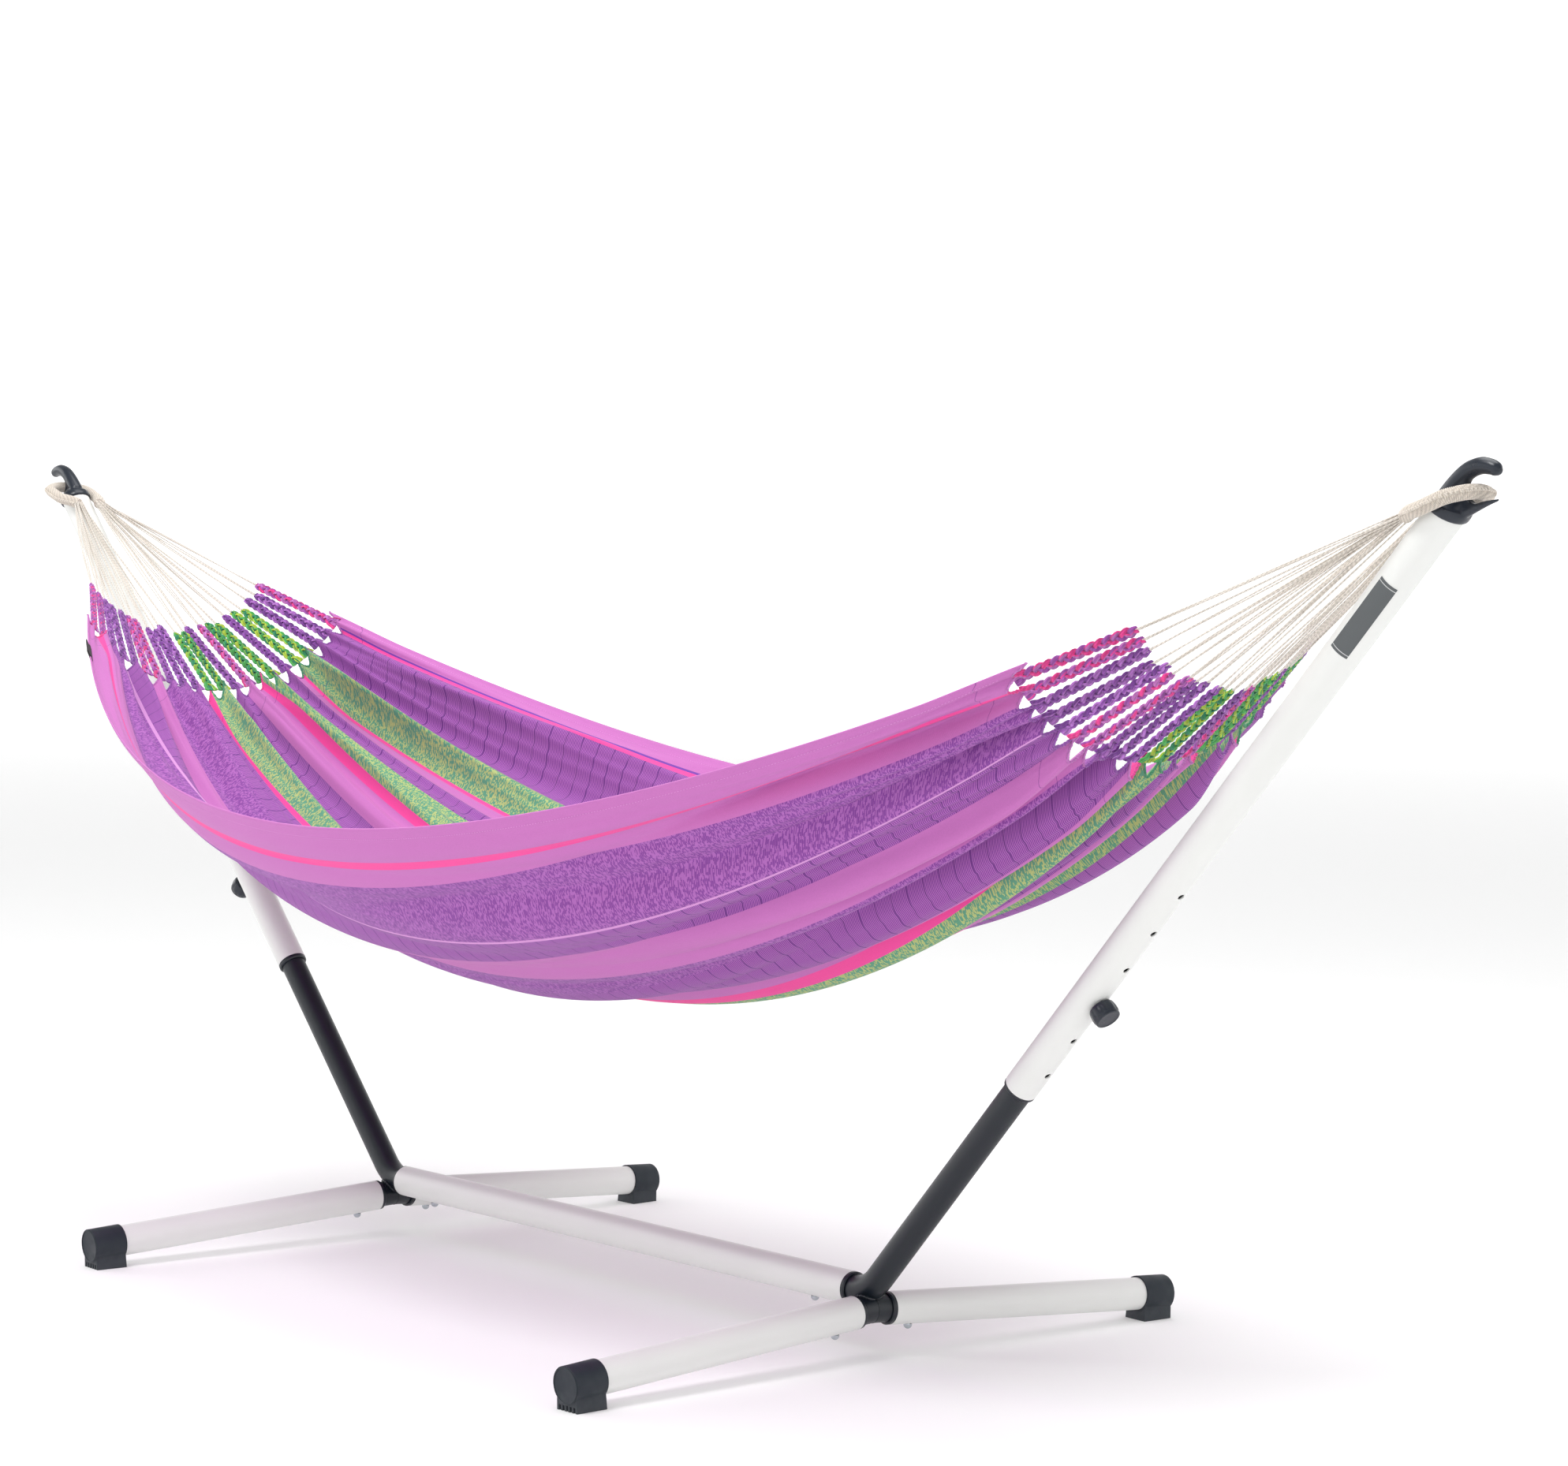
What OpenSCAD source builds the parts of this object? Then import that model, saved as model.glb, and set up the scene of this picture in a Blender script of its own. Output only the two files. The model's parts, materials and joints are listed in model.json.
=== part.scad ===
// Hammock on a telescopic steel stand.
// X runs along the beam, Y across it, Z up; the origin is on the floor under the middle of the beam.

/* [Stand tubes] */
// Outer diameter of the white tubes
tube_d = 50; // [48:0.5:52]
// Outer diameter of the dark tubes that slide into the white ones
inner_d = 42; // [40:0.5:42]
// Wall of all tubes
wall = 2; // [1.5:0.1:2]
// Length of the white beam tube
beam_len = 1186; // [1100:2:1300]
// Height of the beam's axis over the floor
beam_z = 98; // [96:1:102]
// Bend radius of the dark arm bends
bend_r = 75; // [70:1:80]
// How far a dark tube reaches into a white one
socket_len = 90; // [80:1:110]

/* [Arms] */
// Angle between an arm and the floor
arm_angle = 46.4; // [45:0.1:48]
// From the elbow to the lower end of the white arm tube
arm_start = 472; // [440:1:500]
// Length of a white arm tube
arm_len = 1130; // [1050:5:1200]
// Distance between two position holes
hole_pitch = 75; // [70:1:80]
// Number of position holes in an arm
hole_count = 6; // [5:1:6]
// From the lower end of an arm tube to its first hole
hole_start = 52.5; // [45:0.5:60]
// Diameter of a position hole
hole_d = 10; // [9:0.5:11]

/* [Feet] */
// How far the feet slope down from the middle
foot_drop = 3.6; // [3.4:0.1:3.8]
// How far the feet turn away from the beam
foot_splay = 2.7; // [0:0.1:4]
// From the middle of the stand to the end of a foot tube
foot_reach = 568; // [540:1:600]
// Length of the sleeve of a foot cap
cap_len = 55; // [50:1:60]

/* [Hammock] */
// Angle of the suspension strings against the horizontal
string_angle = 35.5; // [34:0.5:36]
// Length of the suspension strings
string_len = 400; // [380:5:420]
// Length of the braids between the strings and the cloth
braid_len = 175; // [160:5:190]
// Number of braids, with one bunch of strings each, at one end
braid_count = 22; // [12:2:22]
// Half of the angle that the cloth covers round the line between the hooks
cloth_half_angle = 51.6; // [45:0.1:54]
// Thickness of the cloth with its folds
cloth_t = 2.5; // [2:0.1:4]
// Diameter of the wrapped rope of an end loop
rope_d = 20; // [18:0.5:20]

/* [Hidden] */
$fn = 48;
eps = 0.01;

steel_dark = [0.16, 0.19, 0.23];
plastic_dark = [0.13, 0.16, 0.19];
paint_white = [0.93, 0.93, 0.93];
bright_steel = [0.75, 0.76, 0.78];
cotton = [0.88, 0.84, 0.78];
orchid = [0.80, 0.50, 0.78];
braid_purple = [0.55, 0.28, 0.65];

tube_bore = tube_d - 2 * wall;
inner_bore = inner_d - 2 * wall;
fit_gap = 0.3;

// The elbow is where the axes of beam and arm would meet
collar_len = 7;
tangent = bend_r * tan(arm_angle / 2);
elbow_x = beam_len / 2 + collar_len + tangent;
bend_x = elbow_x - tangent;
inner_reach = 740;
cross_x = bend_x + 34;
cross_z = beam_z - 25;
cross_half = 33;
foot_start = cross_half;
bolt_d = 8;
bolt_at = 72;
beam_bolt_at = beam_len / 2 - 87;

// Arm stations, measured along the arm from the elbow
knob_station = arm_start + hole_start + 2 * hole_pitch;
rim = arm_start + arm_len;

// Hook, drawn with x outwards across the arm and y along it from the tube's rim
throat = [17.5, 47.5];
throat_r = 18;
hook_t = 20;
cap_r = 28;

// Swing axis of the hammock, where the loops end, in the same two directions
loop_end = [-32, -46];
pivot_x = elbow_x + (rim + loop_end[1]) * cos(arm_angle) + loop_end[0] * sin(arm_angle);
pivot_z = beam_z + (rim + loop_end[1]) * sin(arm_angle) - loop_end[0] * cos(arm_angle);

// Route of one half of a loop: across the arm, along it, and sideways, from the throat to its end
loop_half = [[16.5, 42.5, 0], [16, 41.6, 13], [14, 36.5, 27], [7.5, 24, 38.6], [-2, 5, 39.8],
    [-12, -14, 38], [-24, -31, 30.5], [-32, -46, 22]];

// The cloth hangs in a parabola whose ends run on in the line of the strings
cloth_x = pivot_x - (string_len + braid_len) * cos(string_angle);
cloth_end_r = (string_len + braid_len) * sin(string_angle);
sag_k = tan(string_angle) / (2 * cloth_x);
sag_steps = 24;

function sag(x) = cloth_end_r + sag_k * (cloth_x * cloth_x - x * x);
function spread(i) = cloth_half_angle * (2 * (i + 0.5) / braid_count - 1);
function on_ray(reach, angle) = [
    pivot_x - reach * cos(string_angle),
    reach * sin(string_angle) * sin(angle),
    pivot_z - reach * sin(string_angle) * cos(angle)];
function arc(c, r, a0, a1, n) = [for (i = [0:n]) let (a = a0 + (a1 - a0) * i / n)
    c + r * [cos(a), sin(a)]];

// ---- placing ----

module left_side() { mirror([1, 0, 0]) children(); }

// Local z runs along the arm from the elbow, local x outwards and down from it
module on_arm() {
    translate([elbow_x, 0, beam_z]) rotate([0, 90 - arm_angle, 0]) children();
}

// Local y runs out along a foot from the middle of its cross tube
module on_foot(front, left) {
    mirror([left ? 1 : 0, 0, 0]) mirror([0, front ? 1 : 0, 0])
        translate([cross_x, 0, cross_z]) rotate([0, 0, -foot_splay]) rotate([-foot_drop, 0, 0])
            children();
}

module pipe(outer, bore, len) {
    difference() {
        cylinder(d = outer, h = len);
        translate([0, 0, -1]) cylinder(d = bore, h = len + 2);
    }
}

// A rod between two points
module rod(a, b, d) {
    v = b - a;
    len = norm(v);
    translate(a) rotate([0, acos(v[2] / len), atan2(v[1], v[0])]) cylinder(d = d, h = len, $fn = 16);
}

// Smooth curve through a list of points
function smooth(p, per) = let (n = len(p) - 1) concat(
    [for (i = [0:n - 1], j = [0:per - 1]) let (
        t = j / per,
        a = p[max(i - 1, 0)], b = p[i], c = p[i + 1], d = p[min(i + 2, n)])
        0.5 * (2 * b + (c - a) * t + (2 * a - 5 * b + 4 * c - d) * t * t
            + (3 * b - a - 3 * c + d) * t * t * t)],
    [p[n]]);

// Closed round tube swept along a route that never runs straight sideways to "side"
module sweep(route, d, sides, side) {
    n = len(route) - 1;
    rings = [for (i = [0:n]) let (
        v = route[min(i + 1, n)] - route[max(i - 1, 0)],
        t = v / norm(v),
        u0 = cross(t, side),
        u = u0 / norm(u0),
        w = cross(u, t))
        for (j = [0:sides - 1]) let (a = 360 * j / sides)
            route[i] + d / 2 * (cos(a) * u + sin(a) * w)];
    walls = [for (i = [0:n - 1], j = [0:sides - 1]) let (k = (j + 1) % sides)
        [i * sides + j, i * sides + k, (i + 1) * sides + k, (i + 1) * sides + j]];
    ends = [[for (j = [sides - 1:-1:0]) j], [for (j = [0:sides - 1]) n * sides + j]];
    polyhedron(points = rings, faces = concat(walls, ends), convexity = 6);
}

// ---- stand ----

module beam_tube() {
    color(paint_white) difference() {
        translate([-beam_len / 2, 0, beam_z]) rotate([0, 90, 0]) pipe(tube_d, tube_bore, beam_len);
        for (s = [-1, 1]) translate([s * beam_bolt_at, 0, beam_z - tube_d])
            cylinder(d = bolt_d + 0.6, h = tube_d);
    }
}

// Straight stub, bend and lower arm, as a solid rod of one diameter
module bend_rod(d, extra) {
    top = inner_reach + extra;
    sweep(concat(
        [[bend_x - socket_len - extra, 0, beam_z]],
        [for (p = arc([bend_x, beam_z + bend_r], bend_r, -90, arm_angle - 90, 8)) [p[0], 0, p[1]]],
        [[elbow_x + top * cos(arm_angle), 0, beam_z + top * sin(arm_angle)]]),
        d, 32, [0, 1, 0]);
}

module arm_bend() {
    color(steel_dark) difference() {
        bend_rod(inner_d, 0);
        bend_rod(inner_bore, 1);
        for (front = [true, false]) on_foot(front, false) rotate([-90, 0, 0])
            translate([0, 0, -6]) cylinder(d = inner_d, h = cross_half + 20);
        translate([beam_bolt_at, 0, beam_z - tube_d]) cylinder(d = bolt_d + 0.6, h = tube_d);
        on_arm() translate([0, 0, knob_station]) rotate([0, 90, 0])
            cylinder(d = bolt_d + 0.6, h = inner_d);
    }
}

module cross_tube() {
    color(steel_dark) for (front = [true, false]) difference() {
        on_foot(front, false) rotate([-90, 0, 0]) translate([0, 0, -6])
            pipe(inner_d, inner_bore, cross_half + socket_len + 6);
        translate([cross_x - 50, front ? 0 : -100, cross_z - 50]) cube(100);
        on_foot(front, false) translate([0, bolt_at, -tube_d]) cylinder(d = bolt_d + 0.6, h = tube_d);
    }
}

// Ring that closes the gap between a white tube and the dark one inside it
module collar() {
    color(plastic_dark) difference() {
        union() {
            cylinder(d = tube_d - 0.6, h = collar_len - 2);
            translate([0, 0, collar_len - 2]) cylinder(d1 = tube_d - 0.6, d2 = inner_d + 4, h = 2);
            translate([0, 0, -25]) cylinder(d = tube_bore - fit_gap, h = 25 + eps);
        }
        translate([0, 0, -26]) cylinder(d = inner_d + 2 * fit_gap, h = 30 + collar_len);
    }
}

module beam_collar() { translate([beam_len / 2, 0, beam_z]) rotate([0, 90, 0]) collar(); }

module foot_tube(front, left) {
    color(paint_white) on_foot(front, left) difference() {
        rotate([-90, 0, 0]) translate([0, 0, foot_start]) pipe(tube_d, tube_bore, foot_reach - foot_start);
        translate([0, bolt_at, -tube_d]) cylinder(d = bolt_d + 0.6, h = tube_d);
    }
}

module foot_collar(front, left) {
    on_foot(front, left) translate([0, foot_start, 0]) rotate([90, 0, 0]) collar();
}

// Sleeve with a closed end over a ribbed pad that stands on the floor
module foot_cap(front, left) {
    sleeve_r = tube_d / 2 + 2.5;
    cap_start = foot_reach + 7 - cap_len;
    color(plastic_dark) difference() {
        on_foot(front, left) difference() {
            union() {
                translate([0, cap_start, 0]) rotate([-90, 0, 0]) cylinder(r = sleeve_r, h = cap_len);
                translate([0, cap_start + 1, 0]) rotate([-90, 0, 0])
                    linear_extrude(cap_len - 2) polygon([[-21, 10], [21, 10], [24, 60], [-24, 60]]);
                translate([0, foot_reach + 7, 0]) rotate([-90, 0, 0]) pipe(2 * sleeve_r - 3, 2 * sleeve_r - 6, 1);
            }
            translate([0, cap_start - 1, 0]) rotate([-90, 0, 0])
                cylinder(d = tube_d, h = cap_len - 6);
            for (i = [-2:2]) translate([8 * i - 2, cap_start + cap_len - 16, -60])
                cube([4, 30, 60 - sleeve_r - 1.5]);
        }
        mirror([left ? 1 : 0, 0, 0]) mirror([0, front ? 1 : 0, 0])
            translate([cross_x - 100, 0, -100]) cube([200, 800, 100]);
    }
}

// Dome head below the tube wall, shank through both walls
module tube_bolt() {
    translate([0, 0, -tube_d / 2 - 0.3]) {
        cylinder(d = bolt_d, h = 14);
        difference() {
            translate([0, 0, -1]) sphere(d = 13);
            translate([-10, -10, 0]) cube(20);
        }
    }
}

module beam_bolts() {
    color(bright_steel) for (s = [-1, 1]) translate([s * beam_bolt_at, 0, beam_z]) tube_bolt();
}

module foot_bolts() {
    color(bright_steel) for (front = [true, false], left = [true, false])
        on_foot(front, left) translate([0, bolt_at, 0]) tube_bolt();
}

// Square nut welded inside the dark tube over its bolt hole
module weld_nut() {
    difference() {
        intersection() {
            translate([-8, -8, -inner_bore / 2]) cube([16, 16, 7]);
            rotate([90, 0, 0]) cylinder(d = inner_bore - fit_gap, h = 30, center = true);
        }
        translate([0, 0, -inner_d / 2]) cylinder(d = bolt_d + 0.1, h = inner_d);
    }
}

module weld_nuts() {
    color(bright_steel) {
        for (s = [-1, 1]) translate([s * beam_bolt_at, 0, beam_z]) rotate([0, 0, 90]) weld_nut();
        for (front = [true, false], left = [true, false])
            on_foot(front, left) translate([0, bolt_at, 0]) weld_nut();
    }
}

// Plug in the open top end of the dark arm tube
module end_plug() {
    color(plastic_dark) on_arm() translate([0, 0, inner_reach]) {
        cylinder(d = inner_d - 1, h = 3);
        translate([0, 0, -18]) cylinder(d = inner_bore - 0.4, h = 18 + eps);
    }
}

// ---- arms ----

module arm_tube() {
    color(paint_white) on_arm() difference() {
        translate([0, 0, arm_start]) pipe(tube_d, tube_bore, arm_len);
        for (i = [0:hole_count - 1])
            translate([0, 0, arm_start + hole_start + i * hole_pitch]) rotate([0, 90, 0])
                cylinder(d = hole_d, h = tube_d);
    }
}

module arm_bush() {
    color(plastic_dark) on_arm() translate([0, 0, arm_start]) mirror([0, 0, 1]) collar();
}

module knob() {
    color(plastic_dark) on_arm() translate([tube_d / 2 + 1.5, 0, knob_station]) rotate([0, 90, 0])
        difference() {
            union() {
                cylinder(d1 = 36, d2 = 40, h = 15);
                translate([0, 0, 15]) cylinder(d1 = 40, d2 = 36, h = 8);
            }
            translate([0, 0, -1]) cylinder(d = bolt_d + 0.1, h = 16.1);
        }
}

module stud() {
    tip = inner_d / 2 + 0.5;
    color(bright_steel) on_arm() translate([tip, 0, knob_station]) rotate([0, 90, 0])
        cylinder(d = bolt_d, h = tube_d / 2 + 1.5 + 15 - tip);
}

// Outline of the hook: back of the neck, crown, round tip, throat, spur and foot
module hook_outline() {
    polygon(concat(
        [[-27, 4], [-27, 32]],
        arc(throat, 40.5, 168, 108, 12),
        arc([22, 85], 9, 100, -50, 10),
        [[20, 73.5], [14, 69]],
        arc(throat, throat_r, 113, 316, 24),
        [[39, 48.4], [50.2, 61.6], [51.3, 60.6], [41.5, 39], [28, 12], [26, 4]]));
}

module hook() {
    color(plastic_dark) on_arm() translate([0, 0, rim]) {
        rotate([90, 0, 0]) translate([0, 0, -hook_t / 2]) linear_extrude(hook_t) hook_outline();
        cylinder(r = cap_r, h = 7);
        translate([0, 0, 7]) cylinder(r1 = cap_r, r2 = 21, h = 6);
        translate([0, 0, -35]) cylinder(d = tube_bore - fit_gap, h = 35 + eps);
    }
}

// Plain plate stuck round the outer side of the right arm
module arm_label() {
    plate = 0.6;
    color(plastic_dark) on_arm() translate([0, 0, rim - 250]) rotate([0, 0, -102.5])
        rotate_extrude(angle = 65) translate([tube_d / 2 + 0.02, 0]) square([plate, 124]);
}

// ---- hammock ----

module loop() {
    half = [for (p = loop_half) [p[0], p[2], p[1]]];
    back = [for (i = [len(half) - 1:-1:1]) [half[i][0], -half[i][1], half[i][2]]];
    color(cotton) on_arm() translate([0, 0, rim])
        sweep(smooth(concat(back, half), 3), rope_d, 12, [1, 0, 0.6]);
}

// Ends of the string bunches on the two leg ends of a loop, in four columns
function leg_point(i) = let (
    half_count = braid_count / 2,
    side = i < half_count ? -1 : 1,
    k = i < half_count ? half_count - 1 - i : i - half_count,
    row = k % 3,
    col = floor(k / 3))
    [pivot_x - 7, side * (16 + 4 * col), pivot_z + 4 * (row - 1)];

module strings() {
    color(cotton) for (i = [0:braid_count - 1]) rod(leg_point(i), on_ray(string_len, spread(i)), 2.6);
}

module braids() {
    color(braid_purple) for (i = [0:braid_count - 1])
        rod(on_ray(string_len + 0.5, spread(i)), on_ray(string_len + braid_len - 0.5, spread(i)), 9);
}

// Part of a surface of revolution round the line between the loops' ends
module hammock_cloth() {
    xs = [for (i = [0:sag_steps]) cloth_x * (2 * i / sag_steps - 1)];
    band = concat([for (x = xs) [sag(x), x]],
        [for (i = [sag_steps:-1:0]) [sag(xs[i]) + cloth_t, xs[i]]]);
    color(orchid) translate([0, 0, pivot_z]) rotate([0, 90, 0]) rotate([0, 0, -cloth_half_angle])
        rotate_extrude(angle = 2 * cloth_half_angle, $fn = 240) polygon(band);
}

// Small folded tag sewn to the front hem near the left end
module edge_tag() {
    tag_x = cloth_x - 110;
    color(plastic_dark) translate([-tag_x, 0, pivot_z]) rotate([-cloth_half_angle, 0, 0])
        translate([-22, -24.3, -sag(tag_x) - 1.8]) cube([44, 24, 1.2]);
}

beam_tube();
beam_bolts();
foot_bolts();
weld_nuts();
left_side() arm_bend();  // left_arm_bend
arm_bend();  // right_arm_bend
left_side() cross_tube();  // left_cross_tube
cross_tube();  // right_cross_tube
left_side() beam_collar();  // left_beam_collar
beam_collar();  // right_beam_collar
foot_tube(true, true);  // left_front_foot_tube
foot_tube(false, true);  // left_rear_foot_tube
foot_tube(true, false);  // right_front_foot_tube
foot_tube(false, false);  // right_rear_foot_tube
foot_collar(true, true);  // left_front_collar
foot_collar(false, true);  // left_rear_collar
foot_collar(true, false);  // right_front_collar
foot_collar(false, false);  // right_rear_collar
foot_cap(true, true);  // left_front_foot_cap
foot_cap(false, true);  // left_rear_foot_cap
foot_cap(true, false);  // right_front_foot_cap
foot_cap(false, false);  // right_rear_foot_cap
left_side() end_plug();  // left_end_plug
end_plug();  // right_end_plug
left_side() arm_tube();  // left_arm_tube
arm_tube();  // right_arm_tube
left_side() arm_bush();  // left_arm_bush
arm_bush();  // right_arm_bush
left_side() hook();  // left_hook
hook();  // right_hook
left_side() knob();  // left_knob
knob();  // right_knob
left_side() stud();  // left_stud
stud();  // right_stud
arm_label();
left_side() loop();  // left_loop
loop();  // right_loop
left_side() strings();  // left_strings
strings();  // right_strings
left_side() braids();  // left_braids
braids();  // right_braids
hammock_cloth();
edge_tag();
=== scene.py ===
import json
import math

import bmesh
import bpy
import numpy as np
from mathutils import Matrix, Vector


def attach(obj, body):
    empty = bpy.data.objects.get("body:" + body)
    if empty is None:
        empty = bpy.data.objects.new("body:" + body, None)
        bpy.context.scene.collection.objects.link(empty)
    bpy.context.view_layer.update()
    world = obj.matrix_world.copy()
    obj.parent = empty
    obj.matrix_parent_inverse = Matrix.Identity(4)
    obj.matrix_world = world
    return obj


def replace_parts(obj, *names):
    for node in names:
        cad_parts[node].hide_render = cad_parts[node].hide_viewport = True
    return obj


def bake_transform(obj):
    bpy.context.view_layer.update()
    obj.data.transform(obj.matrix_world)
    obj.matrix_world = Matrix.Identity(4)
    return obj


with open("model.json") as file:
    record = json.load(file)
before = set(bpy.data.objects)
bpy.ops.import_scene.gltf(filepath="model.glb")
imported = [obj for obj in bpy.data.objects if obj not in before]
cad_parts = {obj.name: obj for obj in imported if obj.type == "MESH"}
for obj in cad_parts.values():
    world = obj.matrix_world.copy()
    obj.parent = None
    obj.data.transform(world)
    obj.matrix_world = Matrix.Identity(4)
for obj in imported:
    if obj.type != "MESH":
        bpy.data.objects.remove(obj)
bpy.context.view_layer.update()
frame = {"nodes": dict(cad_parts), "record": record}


# ---- Floor, lamps and camera ----
# A pale floor that turns up into a far backdrop, three large soft lamps and the camera. The floor glows
# with painted light, faint near the stand and brighter towards the backdrop.
# None of this belongs to the object.

class Wire:
    """One output socket in a paint's node tree. Arithmetic on it adds Math nodes."""

    def __init__(self, paint, socket):
        self.paint = paint
        self.socket = socket

    def maths(self, operation, *values):
        return self.paint.add("ShaderNodeMath", dict(enumerate(values)), operation=operation)

    def __add__(self, other):
        return self.maths("ADD", self, other)

    def __sub__(self, other):
        return self.maths("SUBTRACT", self, other)

    def __rsub__(self, other):
        return self.maths("SUBTRACT", other, self)

    def __mul__(self, other):
        return self.maths("MULTIPLY", self, other)

    def __truediv__(self, other):
        return self.maths("DIVIDE", self, other)

    def __mod__(self, other):
        return self.maths("FLOORED_MODULO", self, other)

    __radd__ = __add__
    __rmul__ = __mul__

    def floor(self):
        return self.maths("FLOOR", self)

    def sine(self):
        return self.maths("SINE", self)

    def above(self, limit):
        return self.maths("GREATER_THAN", self, limit)

    def below(self, limit):
        return self.maths("LESS_THAN", self, limit)

    def other(self, name):
        return Wire(self.paint, self.socket.node.outputs[name])


class Paint:
    """A material with one Principled shader. set() fills the shader's sockets, and add() makes
    any other node."""

    def __init__(self, name, **sockets):
        self.material = bpy.data.materials.new(name)
        self.material.use_nodes = True
        self.tree = self.material.node_tree
        self.shader = self.tree.nodes["Principled BSDF"]
        self.set(**sockets)

    def feed(self, socket, value):
        if isinstance(value, Wire):
            self.tree.links.new(value.socket, socket)
        elif socket.type == "RGBA":
            socket.default_value = (*value[:3], 1)
        else:
            socket.default_value = value

    def set(self, **sockets):
        for name, value in sockets.items():
            self.feed(self.shader.inputs[name.replace("_", " ")], value)

    def add(self, kind, sockets=None, output=0, stops=None, **settings):
        node = self.tree.nodes.new(kind)
        for name, value in settings.items():
            setattr(node, name, value)
        if stops:
            ramp = node.color_ramp
            ramp.interpolation = "CONSTANT"
            while len(ramp.elements) < len(stops):
                ramp.elements.new(1)
            for element, (place, colour) in zip(ramp.elements, stops):
                element.position = place
                element.color = (*colour, 1)
        for name, value in (sockets or {}).items():
            self.feed(node.inputs[name], value)
        return Wire(self, node.outputs[output])

    def place(self):
        return self.add("ShaderNodeTexCoord", output="Object")

    def noise(self, where, scale, detail=2.0):
        return self.add("ShaderNodeTexNoise", {"Vector": where, "Scale": scale, "Detail": detail})

    def mix(self, factor, a, b):
        return self.add("ShaderNodeMix", {0: factor, 6: a, 7: b}, output=2, data_type="RGBA")

    def multiply(self, a, b):
        return self.add("ShaderNodeMix", {0: 1.0, 6: a, 7: b}, output=2, data_type="RGBA",
                        blend_type="MULTIPLY")

    def bump(self, height, distance):
        return self.add("ShaderNodeBump", {"Height": height, "Distance": distance, "Strength": 1.0},
                        output="Normal")


def tint(red, green, blue):
    """A colour given as 0 to 255, in the linear light that the shaders work in."""
    return tuple((c / 255 / 12.92) if c < 11 else ((c / 255 + 0.055) / 1.055) ** 2.4
                 for c in (red, green, blue))


def dimmer(colour, share):
    return tuple(c * share for c in colour)


def put_in(name, data):
    """A new object in the scene, for a mesh, a lamp or a camera."""
    thing = bpy.data.objects.new(name, data)
    bpy.context.scene.collection.objects.link(thing)
    return thing


def new_piece(name, points, faces, paint):
    mesh = bpy.data.meshes.new(name)
    mesh.from_pydata([tuple(p) for p in points], [], [tuple(f) for f in faces])
    mesh.update()
    mesh.shade_smooth()
    mesh.materials.append(paint.material)
    return put_in(name, mesh)


def ring_walls(rings, sides, closed=False):
    """Faces between rings of points that follow each other."""
    faces = []
    for i in range(rings if closed else rings - 1):
        for j in range(sides):
            a, b = i * sides, (i + 1) % rings * sides
            k = (j + 1) % sides
            faces.append((a + j, a + k, b + k, b + j))
    return faces


floor_paint = Paint("floor_paint", Base_Color=(0.86, 0.86, 0.86), Roughness=0.9, Emission_Strength=1.0)
floor_away = floor_paint.add("ShaderNodeVectorMath", {0: floor_paint.place()}, output="Value",
                             operation="LENGTH")
painted_glow_by_distance = floor_paint.add("ShaderNodeMapRange", {"Value": floor_away, "From Min": 5.0, "From Max": 22.0})
# Painted light: the floor's glow rises from faint near the stand to bright on the far backdrop.
floor_paint.set(Emission_Color=floor_paint.mix(painted_glow_by_distance, (0.14, 0.14, 0.14), (0.50, 0.50, 0.50)))
floor_profile = [(r, 0.0) for r in (0.01, 4, 10, 24)]
floor_profile += [(24 + 8 * math.sin(a), 8 - 8 * math.cos(a)) for a in np.radians(range(10, 91, 10))]
floor_profile += [(32, 16)]
floor_sides = 64
floor_turn = np.linspace(0, 2 * math.pi, floor_sides, endpoint=False)
floor_points = [(r * math.cos(a), r * math.sin(a), z) for r, z in floor_profile for a in floor_turn]
floor_faces = ring_walls(len(floor_profile), floor_sides) + [tuple(reversed(range(floor_sides)))]
studio_floor = new_piece("studio_floor", floor_points, floor_faces, floor_paint)

daylight = bpy.data.worlds.new("daylight")
daylight.use_nodes = True
daylight.node_tree.nodes["Background"].inputs["Color"].default_value = (1, 1, 1, 1)
daylight.node_tree.nodes["Background"].inputs["Strength"].default_value = 0.54
bpy.context.scene.world = daylight
bpy.context.scene.view_settings.view_transform = "Standard"

for lamp_name, spot, size, watts in (
        ("key_lamp", (0.6, -3.4, 6.4), 2.4, 200),
        ("top_lamp", (0.3, 0.9, 5.5), 4.0, 150),
        ("side_lamp", (-6.0, -2.5, 3.0), 3.0, 40)):
    lamp = bpy.data.lights.new(lamp_name, "AREA")
    lamp.size = size
    lamp.energy = watts
    holder = put_in(lamp_name, lamp)
    holder.location = spot
    holder.rotation_euler = (Vector((0, 0, 0.6)) - Vector(spot)).to_track_quat("-Z", "Y").to_euler()

lens = bpy.data.cameras.new("camera")
lens.lens = 93.88
lens.sensor_width = 36
lens.sensor_fit = "HORIZONTAL"
lens.shift_x = 0.00706
lens.shift_y = -0.00381
lens.clip_end = 200
camera = put_in("camera", lens)
camera_right = Vector((0.62710, 0.77889, 0.00897))
camera_up = Vector((-0.04712, 0.02644, 0.99854))
camera_back = Vector((0.77751, -0.62661, 0.05328))
camera.matrix_world = Matrix.Translation((5.1864, -3.8630, 1.2484)) @ Matrix(
    (camera_right, camera_up, camera_back)).transposed().to_4x4()
bpy.context.scene.camera = camera


# ---- White tubes ----
# Beam, four feet and two arms: 50 mm round steel tube, powder coated white with a faint
# orange-peel surface. The feet and the beam slide over the dark connectors.

def powder_coat(name, colour, rough):
    paint = Paint(name)
    here = paint.place()
    cloud = paint.noise(here, 7)
    peel = paint.noise(here, 420)
    paint.set(Base_Color=paint.mix(cloud, dimmer(colour, 0.93), colour),
              Roughness=rough + 0.12 * (cloud - 0.5),
              Normal=paint.bump(peel, 0.00012))
    return paint


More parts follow.
